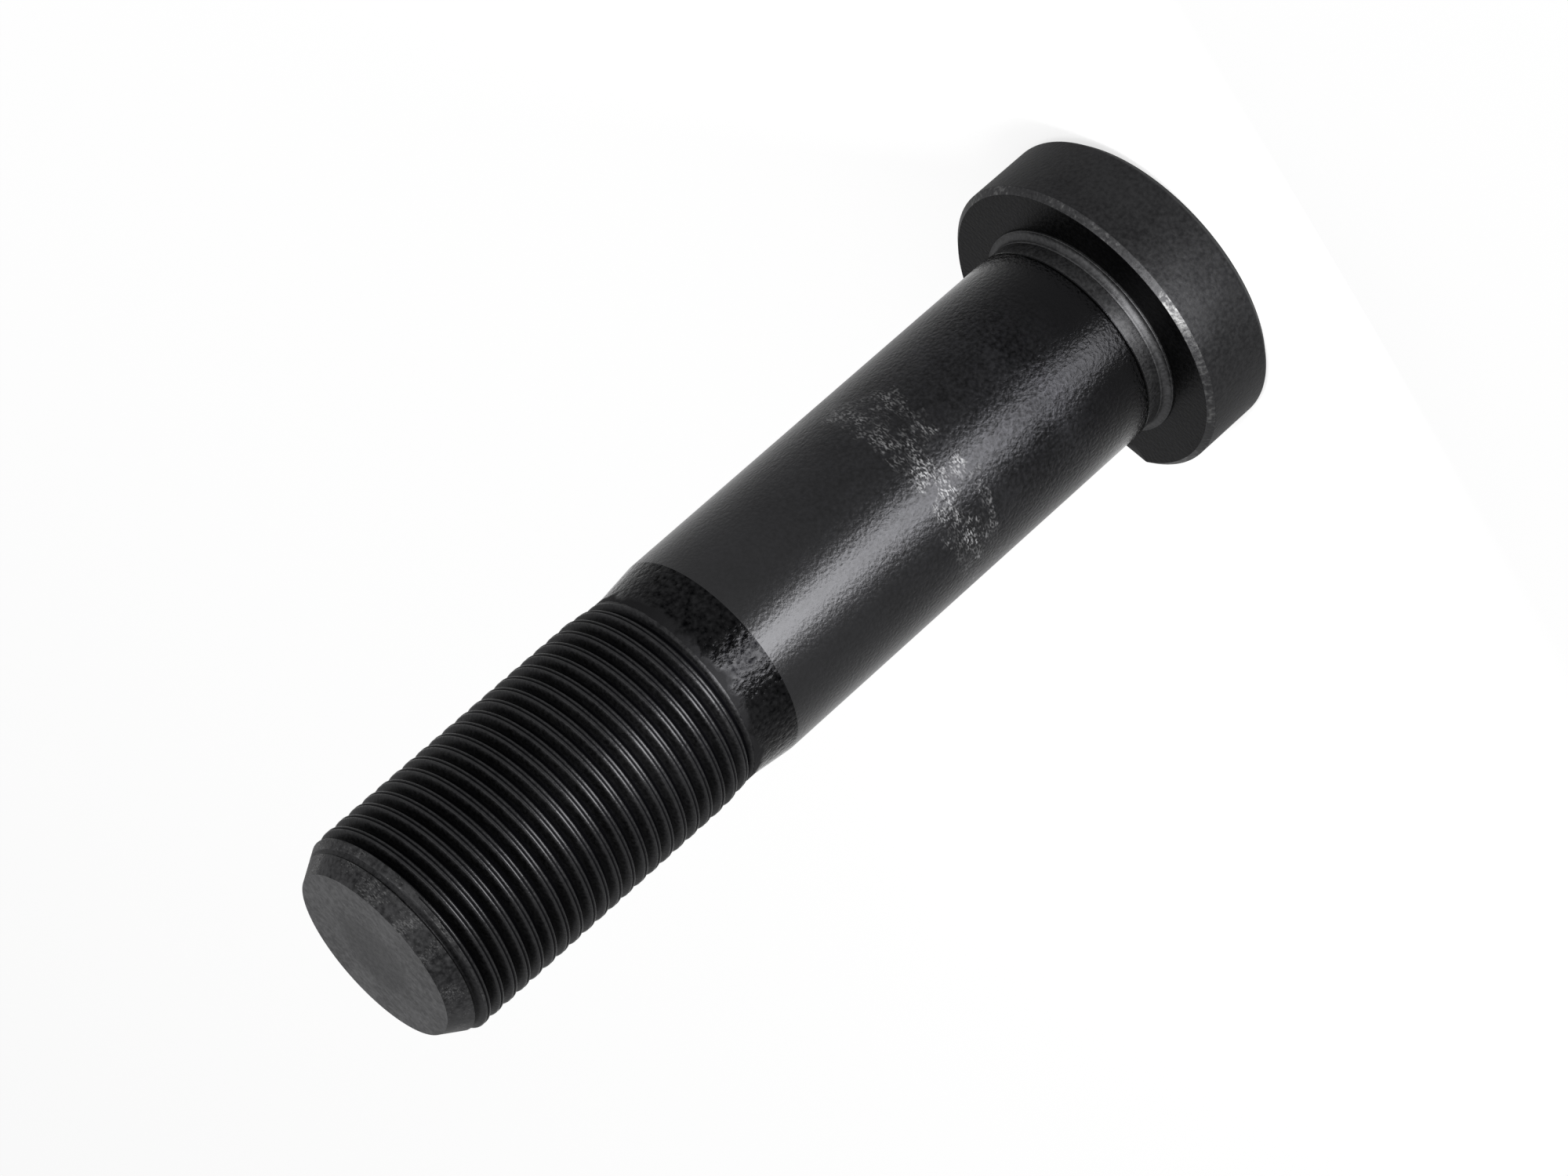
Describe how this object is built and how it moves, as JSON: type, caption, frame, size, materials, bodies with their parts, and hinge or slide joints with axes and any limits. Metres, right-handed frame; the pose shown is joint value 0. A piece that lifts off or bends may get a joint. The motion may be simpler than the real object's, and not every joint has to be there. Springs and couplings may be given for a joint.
{
  "type": "wheel bolt",
  "caption": "Black steel wheel bolt with a low round head trimmed to one locking flat, a plain shank, a short cone and a fine-threaded end with a lead-in chamfer.",
  "frame": {"origin": "centre of the head's outer face, on the bolt's axis", "axes": "+Z along the bolt's axis from the head to the threaded tip, +Y out of the head's locking flat"},
  "size_m": [0.0296, 0.0256, 0.093],
  "materials": {
    "blackened_steel": "black phosphate with an oil film, satin on the shank and matt on the head and tip"
  },
  "bodies": {
    "root": {"wheel_bolt": "blackened_steel"}
  },
  "joints": []
}
